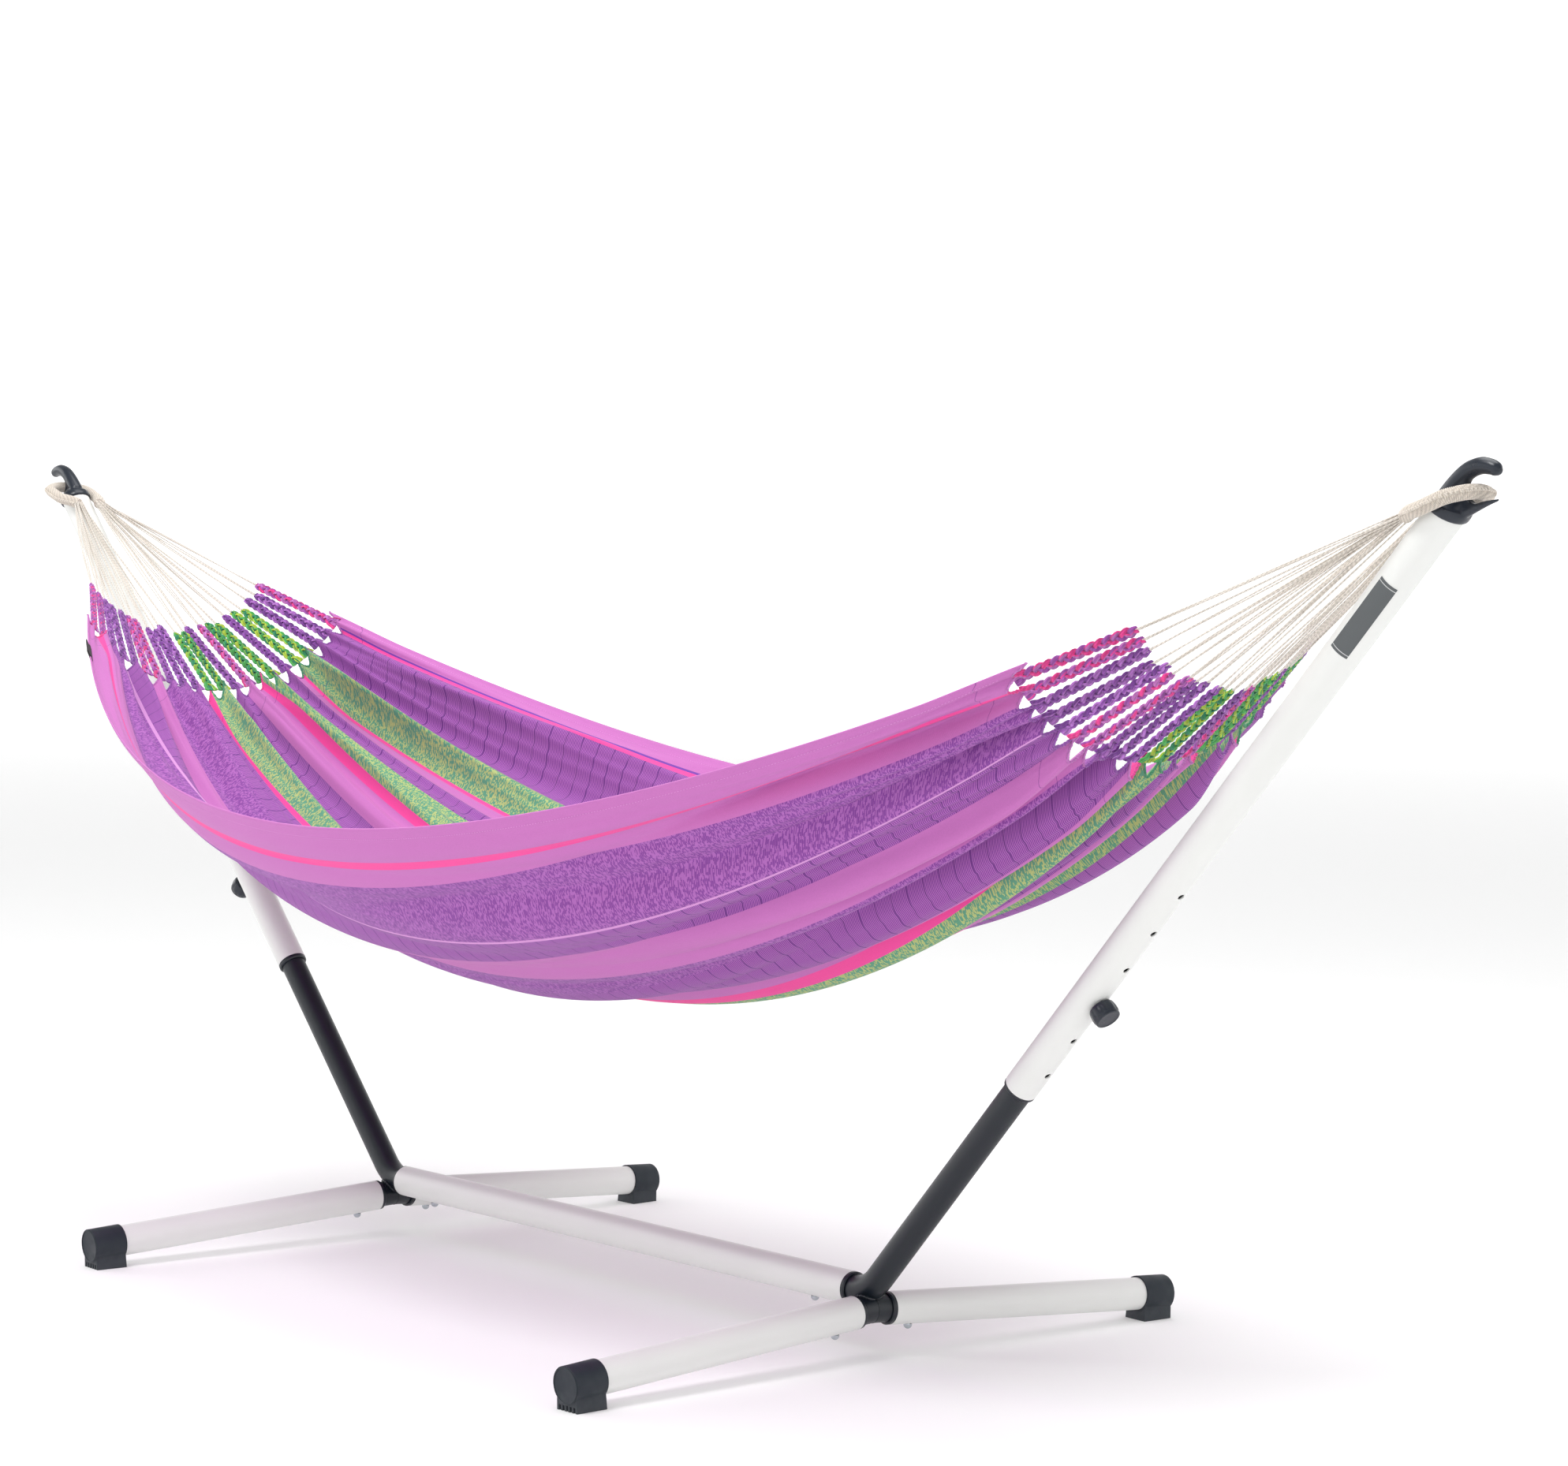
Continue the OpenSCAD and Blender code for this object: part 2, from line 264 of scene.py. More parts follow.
def finish_nodes(slot_name, paint):
    """Gives every CAD node of one material slot its paint."""
    for part in frame["record"]["subparts"]:
        if part["material_slot"] == slot_name:
            node = frame["nodes"][part["node"]]
            node.data.materials.clear()
            node.data.materials.append(paint.material)


# The white leans a very little green, as painted light that offsets the pink light the cloth throws on the
# tubes.
white_coat = powder_coat("white_coat", tint(230, 231, 228), 0.38)
finish_nodes("white_steel", white_coat)


# ---- Bent tubes, cross tubes and welds ----
# At each end of the beam a dark 42 mm tube runs out of it, bends up into the arm and has a
# short cross tube welded under it for the feet. Powder coated anthracite.

dark_coat = powder_coat("dark_coat", tint(14, 23, 32), 0.40)
finish_nodes("dark_steel", dark_coat)

arm_tilt = math.radians(46.4)
arm_along = np.array([math.cos(arm_tilt), 0, math.sin(arm_tilt)])
arm_out = np.array([math.sin(arm_tilt), 0, -math.cos(arm_tilt)])
beam_height = 0.098
bend_start = 0.600
bend_radius = 0.075
elbow = np.array([bend_start + bend_radius * math.tan(arm_tilt / 2), 0, beam_height])
cross_middle = np.array([bend_start + 0.034, 0, beam_height - 0.025])
dark_radius = 0.021


def to_side(points, side):
    """Points given for the right half, taken to the half that side says, -1 or 1."""
    return np.asarray(points, float) * [side, 1, 1]


def on_arm(across, up, along):
    """A point by its distances outwards from the arm's line, sideways, and up along it."""
    return elbow + arm_out * across + np.array([0, up, 0]) + arm_along * along


def unit(vectors):
    return vectors / np.linalg.norm(vectors, axis=-1, keepdims=True)


def rail(path, closed=False):
    """Directions along a path, and two directions across it that turn as little as they can."""
    if closed:
        ahead = unit(np.roll(path, -1, 0) - np.roll(path, 1, 0))
    else:
        ahead = unit(np.gradient(path, axis=0))
    across = np.cross(ahead[0], [0, 1, 0.01])
    first = []
    for direction in ahead:
        across = unit(across - direction * np.dot(across, direction))
        first.append(across)
    first = np.array(first)
    return ahead, first, np.cross(ahead, first)


def face_outwards(piece, sharp_angle):
    """Turns every face outwards and keeps the edges sharp that bend more than the angle."""
    shape = bmesh.new()
    shape.from_mesh(piece.data)
    bmesh.ops.recalc_face_normals(shape, faces=shape.faces)
    shape.to_mesh(piece.data)
    shape.free()
    piece.data.set_sharp_from_angle(angle=math.radians(sharp_angle))


def tube(name, path, radius, sides, paint, closed=False):
    """A closed round tube; radius is one number or one for each point of the path."""
    path = np.asarray(path, float)
    radii = np.broadcast_to(radius, len(path))
    ahead, first, second = rail(path, closed)
    turn = np.linspace(0, 2 * math.pi, sides, endpoint=False)
    points = (path[:, None] + radii[:, None, None] * (np.cos(turn)[None, :, None] * first[:, None]
              + np.sin(turn)[None, :, None] * second[:, None])).reshape(-1, 3)
    faces = ring_walls(len(path), sides, closed)
    if not closed:
        faces.append(tuple(reversed(range(sides))))
        faces.append(tuple(range((len(path) - 1) * sides, len(path) * sides)))
    piece = new_piece(name, points, faces, paint)
    face_outwards(piece, 40)
    return piece


bend_centre = np.array([bend_start, 0, beam_height + bend_radius])
bend_path = [[bend_start - 0.09, 0, beam_height], [bend_start - 0.03, 0, beam_height]]
bend_path += [bend_centre + bend_radius * np.array([math.sin(a), 0, -math.cos(a)])
              for a in np.linspace(0, arm_tilt, 17)]
bend_path += [on_arm(0, 0, d) for d in (0.06, 0.3, 0.74)]

weld_steps = 240
weld_turn = np.linspace(0, 2 * math.pi, weld_steps, endpoint=False)
weld_ring = cross_middle + dark_radius * np.stack(
    [np.cos(weld_turn), 0 * weld_turn, np.sin(weld_turn)], 1)
weld_gap = np.abs(np.linalg.norm(weld_ring - bend_centre, axis=1) - bend_radius)
weld_depth = np.sqrt(np.clip(dark_radius ** 2 - weld_gap ** 2, 0, None))

for side, side_name in ((-1, "left"), (1, "right")):
    bent_tube = tube(side_name + "_bent_tube", to_side(bend_path, side), dark_radius, 64, dark_coat)
    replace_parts(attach(bent_tube, "stand"), side_name + "_arm_bend")
    order = np.roll(np.arange(weld_steps), -int(np.argmin(weld_depth)))
    for face, face_name in ((-1, "front"), (1, "rear")):
        bead_path = weld_ring[order] + np.array([0, face, 0]) * (weld_depth[order][:, None] + 0.0004)
        joined = weld_depth[order] > 0.0005
        waves = np.abs(np.sin(np.arange(weld_steps) * 0.35))
        ripple = np.where(joined, 0.0024 + 0.0008 * waves, 0.0005)
        bead = tube(f"{side_name}_{face_name}_weld", to_side(bead_path, side), ripple, 10,
                    dark_coat, closed=True)
        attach(bead, "stand")


# ---- Collars, bushes and end plugs ----
# Moulded plastic rings that close the gap where a dark tube leaves a white one, and a plug in
# the open top of each dark tube.

def moulded(name, colour, rough, grain=0.00009):
    paint = Paint(name)
    here = paint.place()
    cloud = paint.noise(here, 22)
    specks = paint.noise(here, 1300)
    paint.set(Base_Color=paint.mix(cloud, dimmer(colour, 0.8), dimmer(colour, 1.15)),
              Roughness=rough + 0.14 * (cloud - 0.5),
              Normal=paint.bump(specks, grain))
    return paint


dark_plastic = moulded("dark_plastic", tint(18, 26, 35), 0.34)
finish_nodes("dark_plastic", dark_plastic)


# ---- Bolts, nuts and studs ----
# Plated steel: dome bolts under the beam and the feet, square nuts welded inside the dark tubes
# and the two threaded studs of the clamp knobs.

bright_steel = Paint("bright_steel", Metallic=1.0)
steel_cloud = bright_steel.noise(bright_steel.place(), 160)
bright_steel.set(Base_Color=bright_steel.mix(steel_cloud, (0.36, 0.40, 0.43), (0.62, 0.66, 0.69)),
                 Roughness=0.10 + 0.12 * steel_cloud,
                 Normal=bright_steel.bump(steel_cloud, 0.0001))
finish_nodes("bright_steel", bright_steel)


# ---- Foot caps ----
# Moulded sleeves on the feet's ends, each with a ribbed pad below that stands on the floor.
# Dark plastic, duller and a little dusty near the floor.

foot_plastic = Paint("foot_plastic")
foot_here = foot_plastic.place()
foot_height = foot_plastic.add("ShaderNodeSeparateXYZ", {0: foot_here}, output="Z")
foot_cloud = foot_plastic.noise(foot_here, 60)
foot_dust = foot_plastic.add("ShaderNodeMapRange", {
    "Value": foot_height + 0.02 * (foot_cloud - 0.5), "From Min": 0.004, "From Max": 0.03,
    "To Min": 0.35, "To Max": 0.0})
foot_colour = tint(18, 29, 39)
foot_plastic.set(
    Base_Color=foot_plastic.mix(foot_dust, foot_colour, tint(74, 78, 82)),
    Roughness=0.45 + 0.25 * foot_cloud,
    Normal=foot_plastic.bump(foot_plastic.noise(foot_here, 1100), 0.00012))


def settle(piece):
    """Turns a piece with live modifiers into the plain mesh that they make."""
    graph = bpy.context.evaluated_depsgraph_get()
    made = bpy.data.meshes.new_from_object(piece.evaluated_get(graph),
                                           preserve_all_data_layers=True, depsgraph=graph)
    piece.modifiers.clear()
    piece.data = made
    return piece


def rounded_copy(node_name, name, width, paint):
    """A copy of a CAD node with its sharp edges rounded."""
    shape = bmesh.new()
    shape.from_mesh(frame["nodes"][node_name].data)
    bmesh.ops.remove_doubles(shape, verts=shape.verts, dist=0.00002)
    bmesh.ops.dissolve_limit(shape, angle_limit=math.radians(1), verts=shape.verts, edges=shape.edges)
    mesh = bpy.data.meshes.new(name)
    shape.to_mesh(mesh)
    shape.free()
    mesh.materials.clear()
    mesh.materials.append(paint.material)
    mesh.shade_smooth()
    piece = put_in(name, mesh)
    bevel = piece.modifiers.new("edges", "BEVEL")
    bevel.width = width
    bevel.segments = 3
    bevel.limit_method = "ANGLE"
    bevel.angle_limit = math.radians(38)
    bevel.harden_normals = False
    settle(piece)
    piece.data.set_sharp_from_angle(angle=math.radians(50))
    return piece


for corner in ("left_front", "left_rear", "right_front", "right_rear"):
    foot = rounded_copy(corner + "_foot_cap", corner + "_foot_sleeve", 0.0012, foot_plastic)
    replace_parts(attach(foot, "stand"), corner + "_foot_cap")


# ---- Hooks ----
# One-piece moulded hooks plugged into the arms' upper ends: a round curl over an open throat,
# a thin spur that keeps the loop in, and a flared cap over the tube's rim.

arm_foot = 0.472
arm_length = 1.130
rim_station = arm_foot + arm_length


def close_rings(shape, rings):
    """Adds the faces between rings of vertices, and one over each end."""
    sides = len(rings[0])
    for low, high in zip(rings, rings[1:]):
        for j in range(sides):
            shape.faces.new((low[j], low[(j + 1) % sides], high[(j + 1) % sides], high[j]))
    shape.faces.new(reversed(rings[0]))
    shape.faces.new(rings[-1])


def round_bar(shape, path, radii, sides):
    """Adds a closed bar with rounded ends to a shape."""
    path = np.asarray(path, float)
    ahead, first, second = rail(path)
    rings = []
    stations = [(path[0] - ahead[0] * radii[0] * 0.7, radii[0] * 0.5, 0)]
    stations += [(p, r, i) for i, (p, r) in enumerate(zip(path, radii))]
    stations += [(path[-1] + ahead[-1] * radii[-1] * 0.7, radii[-1] * 0.5, len(path) - 1)]
    for centre, radius, i in stations:
        rings.append([shape.verts.new(centre + radius * (math.cos(a) * first[i] + math.sin(a) * second[i]))
                      for a in np.linspace(0, 2 * math.pi, sides, endpoint=False)])
    close_rings(shape, rings)


def finer(points, values, steps):
    """A smooth curve through points, with the values that go along it."""
    points = np.asarray(points, float)
    table = np.column_stack([points, values])
    padded = np.vstack([2 * table[0] - table[1], table, 2 * table[-1] - table[-2]])
    rows = []
    for i in range(1, len(padded) - 2):
        a, b, c, d = padded[i - 1:i + 3]
        for t in np.linspace(0, 1, steps, endpoint=False):
            rows.append(0.5 * (2 * b + (c - a) * t + (2 * a - 5 * b + 4 * c - d) * t ** 2
                               + (3 * b - a - 3 * c + d) * t ** 3))
    rows.append(table[-1])
    rows = np.array(rows)
    return rows[:, :3], rows[:, 3]


def plate(shape, outline, half):
    """Adds a flat plate to a shape, from an outline across and along the arm."""
    rows = [[shape.verts.new(on_arm(n / 1000, s * half, rim_station + d / 1000)) for n, d in outline]
            for s in (-1, 1)]
    shape.faces.new(rows[0])
    shape.faces.new(reversed(rows[1]))
    for i in range(len(outline)):
        k = (i + 1) % len(outline)
        shape.faces.new((rows[0][i], rows[1][i], rows[1][k], rows[0][k]))


hook_shape = bmesh.new()
curl = [(-13.5, 6, 13.5), (-13.7, 20, 13.0), (-13.2, 36, 12.2), (-10.8, 51, 11.6), (-6, 62.5, 11.2),
        (1.5, 73.0, 11.0), (11, 80.4, 10.3), (17, 83.6, 9.7), (22, 85.0, 9.0)]
spur = [(19.5, 9, 8.6), (25.5, 19, 6.8), (31, 29, 5.5), (37, 40, 4.3), (43.4, 50.5, 2.9),
        (50, 60.5, 1.6)]
for bar, steps, sides in ((curl, 5, 20), (spur, 4, 14)):
    bar_path, bar_radii = finer([on_arm(n / 1000, 0, rim_station + d / 1000) for n, d, r in bar],
                                [r / 1000 for n, d, r in bar], steps)
    round_bar(hook_shape, bar_path, bar_radii, sides)
throat_low = [(17.5 + 18.6 * math.cos(a), 47.5 + 18.6 * math.sin(a))
              for a in np.radians(range(190, 321, 10))]
plate(hook_shape, [(-22, 5), (-22, 40), (-8, 44)] + throat_low + [(34, 33), (26, 14), (22, 5)], 0.0060)
cap_rings = [(0.0, -0.030), (0.0222, -0.030), (0.0222, -0.0105), (0.0264, -0.0105),
             (0.0284, -0.0085), (0.0288, -0.003), (0.0282, 0.0030), (0.0262, 0.0060),
             (0.0225, 0.0075), (0.0180, 0.0120), (0.0120, 0.0180), (0.0, 0.0215)]
cap_lean = 0.20
cap_rows = []
for radius, station in cap_rings:
    spread = max(radius, 1e-5)
    cap_rows.append([hook_shape.verts.new(on_arm(
        spread * math.cos(a), spread * math.sin(a),
        rim_station + station + cap_lean * radius * math.cos(a)))
        for a in np.linspace(0, 2 * math.pi, 48, endpoint=False)])
close_rings(hook_shape, cap_rows)
bmesh.ops.recalc_face_normals(hook_shape, faces=hook_shape.faces)

hook_plastic = moulded("hook_plastic", tint(22, 30, 42), 0.28, 0.00005)
hook_mesh = bpy.data.meshes.new("hook")
hook_shape.to_mesh(hook_mesh)
hook_shape.free()
right_hook = put_in("right_curl_hook", hook_mesh)
fuse = right_hook.modifiers.new("fuse", "REMESH")
fuse.mode = "VOXEL"
fuse.voxel_size = 0.0013
ease = right_hook.modifiers.new("ease", "SMOOTH")
ease.factor = 0.5
ease.iterations = 9
settle(right_hook)
right_hook.data.materials.clear()
right_hook.data.materials.append(hook_plastic.material)
right_hook.data.shade_smooth()
left_hook_mesh = right_hook.data.copy()
left_hook_mesh.transform(Matrix.Scale(-1, 4, (1, 0, 0)))
left_hook_mesh.flip_normals()
left_hook = put_in("left_curl_hook", left_hook_mesh)
for side_name, piece in (("left", left_hook), ("right", right_hook)):
    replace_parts(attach(piece, side_name + "_arm"), side_name + "_hook")


# ---- Clamp knobs ----
# Ribbed plastic hand knobs moulded on to the studs, on the underside of each arm.
# They turn on the arm's third hole and lock it.

first_hole = 0.0525
hole_pitch = 0.075
knob_station = arm_foot + first_hole + 2 * hole_pitch
knob_profile = [(4.2, 26.5), (15.8, 26.5), (17.4, 27.1), (18.4, 28.6), (19.2, 32.0), (19.7, 37.0),
                (19.6, 42.0), (19.0, 44.6), (18.5, 44.9), (18.3, 45.2), (18.3, 47.2), (17.9, 48.4),
                (16.8, 49.0), (15.6, 49.1), (15.2, 48.6), (14.4, 48.5), (8.0, 48.6), (0.02, 48.6)]
knob_sides = 120
knob_turn = np.linspace(0, 2 * math.pi, knob_sides, endpoint=False)
for side, side_name in ((-1, "left"), (1, "right")):
    knob_points = []
    for radius, height in knob_profile:
        grip = 1 if radius > 18.5 else 0
        flute = 1 - 0.040 * grip * (0.5 + 0.5 * np.cos(10 * knob_turn)) ** 1.5
        ring = [on_arm(height / 1000, 0, knob_station) + radius * f / 1000
                * (math.cos(a) * np.array([0, 1, 0]) + math.sin(a) * arm_along)
                for a, f in zip(knob_turn, flute)]
        knob_points += list(to_side(ring, side))
    knob_faces = ring_walls(len(knob_profile), knob_sides)
    knob_faces.append(tuple(range(knob_sides)))
    knob_faces.append(tuple(reversed(range(len(knob_points) - knob_sides, len(knob_points)))))
    knob = new_piece(side_name + "_hand_knob", knob_points, knob_faces, hook_plastic)
    face_outwards(knob, 35)
    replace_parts(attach(knob, side_name + "_grip"), side_name + "_knob")


# ---- Arm label ----
# A dark printed film stuck on the right arm below the hook, with a thin pale line near each end.

label_film = Paint("label_film")
label_here = label_film.place()
label_axis = label_film.add("ShaderNodeVectorMath", {0: label_here, 1: tuple(arm_along)},
                            output="Value", operation="DOT_PRODUCT")
label_below_rim = 0.250
line_low = 0.004
line_high = 0.120
line_width = 0.0012
label_from_end = label_axis - (float(elbow @ arm_along) + rim_station - label_below_rim)
label_outer = label_from_end.above(line_low) * label_from_end.below(line_high)
label_inner = (label_from_end.above(line_low + line_width)
               * label_from_end.below(line_high - line_width))
label_film.set(Base_Color=label_film.mix(label_outer - label_inner, tint(84, 88, 90),
                                         tint(190, 192, 192)),
               Roughness=0.5)
finish_nodes("label_print", label_film)


# ---- Lines, cords and yarns ----
# One Geometry Nodes tree turns lines of points into round cord of a given thickness. It is used
# for the whipping of the loops, the strings, the braids and the edges of the cloth.

def start_tree(name, inputs, output):
    """A Geometry Nodes tree with its inputs and its output, and the inputs' identifiers."""
    tree = bpy.data.node_groups.new(name, "GeometryNodeTree")
    keys = {}
    for label, kind in inputs.items():
        socket = tree.interface.new_socket(label, in_out="INPUT", socket_type="NodeSocket" + kind)
        keys[label] = socket.identifier
    tree.interface.new_socket(output, in_out="OUTPUT", socket_type="NodeSocketGeometry")
    return tree, keys


def link_up(tree, links):
    for source, output, target, goal in links:
        tree.links.new(source.outputs[output], target.inputs[goal])


def cord_tree():
    tree, keys = start_tree("cord_maker", {"Lines": "Geometry", "Thickness": "Float",
                                           "Sides": "Int", "Skin": "Material"}, "Cord")
    given, result, curve, half, circle, body, smooth, real, coat = [
        tree.nodes.new(kind) for kind in (
            "NodeGroupInput", "NodeGroupOutput", "GeometryNodeMeshToCurve", "ShaderNodeMath",
            "GeometryNodeCurvePrimitiveCircle", "GeometryNodeCurveToMesh",
            "GeometryNodeSetShadeSmooth", "GeometryNodeRealizeInstances",
            "GeometryNodeSetMaterial")]
    half.operation = "MULTIPLY"
    half.inputs[1].default_value = 0.5
    body.inputs["Fill Caps"].default_value = True
    link_up(tree, (
        (given, "Lines", curve, "Mesh"), (given, "Thickness", half, 0),
        (half, 0, circle, "Radius"), (given, "Sides", circle, "Resolution"),
        (curve, "Curve", body, "Curve"), (circle, "Curve", body, "Profile Curve"),
        (body, "Mesh", smooth, "Geometry"), (smooth, "Geometry", real, "Geometry"),
        (real, "Geometry", coat, "Geometry"), (given, "Skin", coat, "Material"),
        (coat, "Geometry", result, "Cord")))
    return tree, keys


cord_maker, cord_inputs = cord_tree()


def cords(name, lines, thickness, sides, paint, tones=None):
    """Round cord along every line. tones gives each line a colour that the paint can read."""
    points, edges, colours, runs = [], [], [], []
    for i, line in enumerate(lines):
        line = np.asarray(line, float)
        start = len(points)
        points += [tuple(p) for p in line]
        edges += [(start + k, start + k + 1) for k in range(len(line) - 1)]
        steps = np.concatenate([[0], np.cumsum(np.linalg.norm(np.diff(line, axis=0), axis=1))])
        runs += list(steps)
        colours += [(*(tones[i] if tones else (1, 1, 1)), 1)] * len(line)
    mesh = bpy.data.meshes.new(name)
    mesh.from_pydata(points, edges, [])
    tone = mesh.attributes.new("tone", "FLOAT_COLOR", "POINT")
    tone.data.foreach_set("color", np.array(colours, np.float32).ravel())
    run = mesh.attributes.new("run", "FLOAT", "POINT")
    run.data.foreach_set("value", np.array(runs, np.float32))
    piece = put_in(name, mesh)
    maker = piece.modifiers.new("cord", "NODES")
    maker.node_group = cord_maker
    maker[cord_inputs["Thickness"]] = thickness
    maker[cord_inputs["Sides"]] = sides
    maker[cord_inputs["Skin"]] = paint.material
    settle(piece)
    return piece


def yarn(name, colour, twist):
    """Twisted cotton: slanting plies across the cord, with painted shade in the grooves between
    them, and flecks. Without a colour of its own it shows the tone of each line."""
    paint = Paint(name, Sheen_Weight=0.25, Sheen_Roughness=0.5)
    run = paint.add("ShaderNodeAttribute", output="Fac", attribute_name="run")
    here = paint.place()
    height = paint.add("ShaderNodeSeparateXYZ", {0: here}, output="Z")
    plies = (run * (2 * math.pi / twist) + height * 900).sine() * 0.5 + 0.5
    flecks = paint.noise(here, 700)
    base = colour
    if colour is None:
        base = paint.add("ShaderNodeAttribute", output="Color", attribute_name="tone")
    # The colour darkens between the plies as painted shade in the grooves; the flecks are the yarn's own
    # random tone.
    ply_shade_and_flecks = paint.mix(0.35 * plies + 0.65 * flecks, (0.5, 0.5, 0.5), (1.15, 1.15, 1.15))
    paint.set(Base_Color=paint.multiply(base, ply_shade_and_flecks), Roughness=0.8 + 0.15 * flecks,
              Normal=paint.bump(plies * 0.6 + flecks * 0.4, 0.0004))
    return paint


# ---- End loops ----
# A thick rope bundle whipped all round with fine cotton cord, bent over each hook's throat and
# down both sides of the cap, with a row of knots along its outer side.

cream = tint(226, 216, 204)
whipping_yarn = yarn("whipping_yarn", cream, 0.004)
pivot = np.array([1.682020, 0, 1.246879])
loop_half = [(16.5, 42.5, 0), (16, 41.6, 13), (14, 36.5, 27), (7.5, 24, 38.6), (-2, 5, 39.8),
             (-12, -14, 38), (-24, -31, 30.5), (-32, -46, 22)]
loop_full = [(n, d, -y) for n, d, y in reversed(loop_half[1:])] + loop_half
loop_path, _ = finer([on_arm(n / 1000, y / 1000, rim_station + d / 1000) for n, d, y in loop_full],
                     [0.0] * len(loop_full), 12)
loop_runs = np.concatenate([[0], np.cumsum(np.linalg.norm(np.diff(loop_path, axis=0), axis=1))])
loop_core_radius = 0.0088
whip_radius = 0.0091
whip_pitch = 0.0023
points_per_turn = 14
knot_pitch = 0.0052


def along_loop(run):
    """Points of the loop's middle line, at distances along it."""
    return np.stack([np.interp(run, loop_runs, loop_path[:, k]) for k in range(3)], -1)


whip_run = np.linspace(0, loop_runs[-1], int(loop_runs[-1] / whip_pitch * points_per_turn))
whip_centre = along_loop(whip_run)
_, whip_first, whip_second = rail(whip_centre)
whip_angle = (2 * math.pi * whip_run / whip_pitch)[:, None]
whip_line = whip_centre + whip_radius * (np.cos(whip_angle) * whip_first
                                         + np.sin(whip_angle) * whip_second)
loop_middle = loop_path.mean(0)
knot_lines = []
for place in np.arange(0.006, loop_runs[-1] - 0.004, knot_pitch):
    centre = along_loop(place)
    ahead = unit(along_loop(place + 0.002) - centre)
    outward = centre - loop_middle
    outward = unit(outward - ahead * (outward @ ahead))
    across = np.cross(ahead, outward)
    for lean in (-1, 1):
        knot_lines.append([centre + outward * (0.0098 + 0.0012 * math.sin(math.pi * t))
                           + ahead * 0.0042 * (t - 0.5) + across * lean * 0.0030 * (t - 0.5)
                           for t in np.linspace(0, 1, 6)])

for side, side_name in ((-1, "left"), (1, "right")):
    core = tube(side_name + "_loop_core", to_side(loop_path, side), loop_core_radius, 20,
                whipping_yarn)
    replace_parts(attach(core, side_name + "_arm"), side_name + "_loop")
    whipping = cords(side_name + "_loop_whipping", [to_side(whip_line, side)], 0.0021, 6,
                     whipping_yarn)
    knots = cords(side_name + "_loop_knots", [to_side(line, side) for line in knot_lines], 0.0030,
                  7, whipping_yarn)
    for piece in (whipping, knots):
        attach(piece, side_name + "_arm")


# ---- Strings ----
# Three cream cotton strings from the loop's legs to the head of each braid. They pass from the
# arm's swinging fan to the hammock.

ray_tilt = math.radians(35.5)
half_wrap = math.radians(51.6)
string_reach = 0.400
braid_reach = 0.175
braid_count = 22
string_thickness = 0.0020


def on_ray(reach, angle):
    """A point at a distance from the loops' ends, in the fan's surface."""
    return pivot + reach * np.array([-math.cos(ray_tilt), math.sin(ray_tilt) * math.sin(angle),
                                     -math.sin(ray_tilt) * math.cos(angle)])


string_yarn = yarn("string_yarn", tint(232, 224, 214), 0.005)
draws = np.random.default_rng(11)
braid_angles = [half_wrap * (2 * (i + 0.5) / braid_count - 1) for i in range(braid_count)]
braid_heads = {}
for side, side_name in ((-1, "left"), (1, "right")):
    strands = []
    heads = []
    for i, angle in enumerate(braid_angles):
        head = string_reach + draws.uniform(-0.014, 0.010)
        lean = 0.020 * math.sin(2.1 * i + 1.3 * side) * math.cos(math.pi * angle / 2 / half_wrap)
        heads.append((head, lean))
        leg_side = -1 if i < braid_count / 2 else 1
        rank = braid_count // 2 - 1 - i if i < braid_count / 2 else i - braid_count // 2
        leg = pivot + [0.003, leg_side * (0.016 + 0.004 * (rank // 3)), 0.003 * (rank % 3)]
        for k in (-1, 0, 1):
            start = leg + np.array([0, draws.uniform(-0.0022, 0.0022), draws.uniform(-0.003, 0.003)])
            end = on_ray(head + 0.006, angle + lean + k * 0.0055)
            slack = np.array([0, draws.uniform(-0.006, 0.006), draws.uniform(-0.002, 0.002)])
            strands.append([start + (end - start) * t + slack * 4 * t * (1 - t)
                            for t in np.linspace(0, 1, 15)])
    braid_heads[side] = heads
    fan = cords(side_name + "_string_fan", [to_side(s, side) for s in strands], string_thickness,
                6, string_yarn)
    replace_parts(fan, side_name + "_strings")
    near = to_side(pivot + [-0.03, 0, 0], side)
    far = to_side(on_ray(string_reach - 0.02, 0) * [1, 0, 0] + pivot * [0, 0, 1], side)
    if side < 0:
        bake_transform(fan)
    else:
        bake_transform(fan)


# ---- Cloth ----
# One woven cotton sheet, 1.5 m wide and 2.6 m long, gathered at both ends. Stripes of plain,
# flecked and cross-lined weave run along it; both long edges are turned over and sewn.

# Half the cloth's length, how far its ends lie below the loops' ends, and how fast it sags on.
cloth_end = 1.213903
end_drop = 0.333904
sag_rate = 0.29380
# The bands from the front hem to the rear one, each with its width as a part of their sum.
bands = [
    ("orchid", 52), ("violet", 4), ("orchid", 10), ("pink", 12), ("orchid", 40), ("heather", 118),
    ("pale", 4), ("ladder", 88), ("orchid", 84), ("heather", 76), ("pale", 4), ("ladder", 84),
    ("orchid", 34), ("pink", 22), ("green", 42), ("grey", 3), ("green", 42), ("ladder", 62),
    ("orchid", 66), ("pink", 18), ("green", 40), ("grey", 3), ("green", 38), ("ladder", 58),
    ("orchid", 26), ("pink", 9), ("green", 78), ("ladder", 150), ("pink", 10), ("violet", 4),
    ("orchid", 46)]
band_colours = {
    "orchid": tint(197, 113, 186), "violet": tint(118, 62, 168), "pink": tint(242, 74, 158),
    "heather": tint(126, 58, 148), "ladder": tint(126, 58, 150), "pale": tint(214, 150, 212),
    "green": tint(84, 158, 128), "grey": tint(120, 110, 130)}
band_total = sum(width for kind, width in bands)
band_starts = np.cumsum([0] + [width for kind, width in bands])[:-1] / band_total

